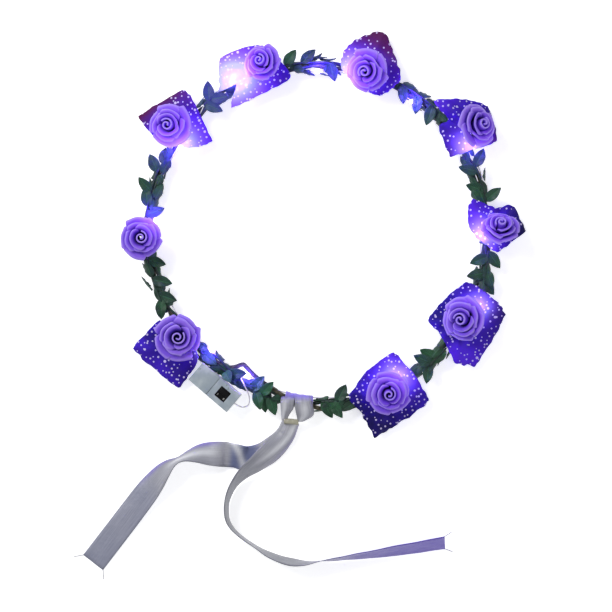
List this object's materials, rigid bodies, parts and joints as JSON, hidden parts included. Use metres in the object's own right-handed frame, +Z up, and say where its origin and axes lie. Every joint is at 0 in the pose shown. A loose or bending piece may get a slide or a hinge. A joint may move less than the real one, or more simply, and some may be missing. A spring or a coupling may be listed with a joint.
{
  "type": "flower crown",
  "caption": "Round wire head wreath with foam roses, gathered ribbon squares, leaves, a string of lights with a switched battery box, and a satin ribbon with two tails.",
  "frame": {"origin": "middle of the head opening, on the table that the crown lies on", "axes": "+Z up out of the table, along the head opening; +Y towards the side of the crown opposite the ribbon; +X to the right as seen from above"},
  "size_m": [0.265, 0.323, 0.0298],
  "materials": {
    "brown_paper": "matt paper wrap",
    "green_vine": "matt",
    "leaf": "pressed cloth, slightly waxy",
    "foam": "matt foam",
    "printed_ribbon": "ribbed ribbon with a starry print",
    "light_wire": "lacquered silver",
    "light_bead": "clear resin, lit violet",
    "box_plastic": "milky translucent",
    "black_plastic": "satin black",
    "cell_steel": "brushed",
    "contact_metal": "plated",
    "satin": "satin"
  },
  "bodies": {
    "crown": {"brown_wire": "brown_paper", "green_strand": "green_vine", "light_wire": "light_wire", "light_bead_1": "light_bead", "light_bead_2": "light_bead", "light_bead_3": "light_bead", "light_bead_4": "light_bead", "light_bead_5": "light_bead", "light_bead_6": "light_bead", "light_bead_7": "light_bead", "light_bead_8": "light_bead", "light_bead_9": "light_bead", "light_bead_10": "light_bead", "light_bead_11": "light_bead", "light_bead_12": "light_bead", "rose_a": "foam", "rose_b": "foam", "rose_c": "foam", "rose_d": "foam", "rose_e": "foam", "rose_f": "foam", "rose_g": "foam", "rose_h": "foam", "rose_i": "foam", "cloth_square_a": "printed_ribbon", "cloth_square_b": "printed_ribbon", "cloth_square_c": "printed_ribbon", "cloth_square_d": "printed_ribbon", "cloth_square_e": "printed_ribbon", "cloth_square_g": "printed_ribbon", "cloth_square_h": "printed_ribbon", "cloth_square_i": "printed_ribbon", "leaf_sprig_1": "leaf", "leaf_sprig_2": "leaf", "leaf_sprig_3": "leaf", "leaf_sprig_4": "leaf", "leaf_sprig_5": "leaf", "leaf_sprig_6": "leaf", "leaf_sprig_7": "leaf", "leaf_sprig_8": "leaf", "leaf_sprig_9": "leaf", "leaf_sprig_10": "leaf", "leaf_sprig_11": "leaf", "battery_housing": "box_plastic", "switch_deck": "box_plastic", "button_cell_1": "cell_steel", "button_cell_2": "cell_steel", "button_cell_3": "cell_steel", "contact_spring": "contact_metal", "side_contact": "contact_metal", "switch_body": "black_plastic", "ribbon_hitch": "satin", "ribbon_tail_long": "satin", "ribbon_tail_short": "satin"},
    "cover": {"battery_cover": "box_plastic"},
    "knob": {"switch_knob": "black_plastic"}
  },
  "joints": [
    {"name": "switch_slide", "type": "slide", "parent": "crown", "child": "knob", "axis": [-0.6508, -0.7593, 0], "range_m": [0, 0.003]},
    {"name": "cover_lift", "type": "slide", "parent": "crown", "child": "cover", "axis": [0, 0, 1], "range_m": [0, 0.02]}
  ]
}
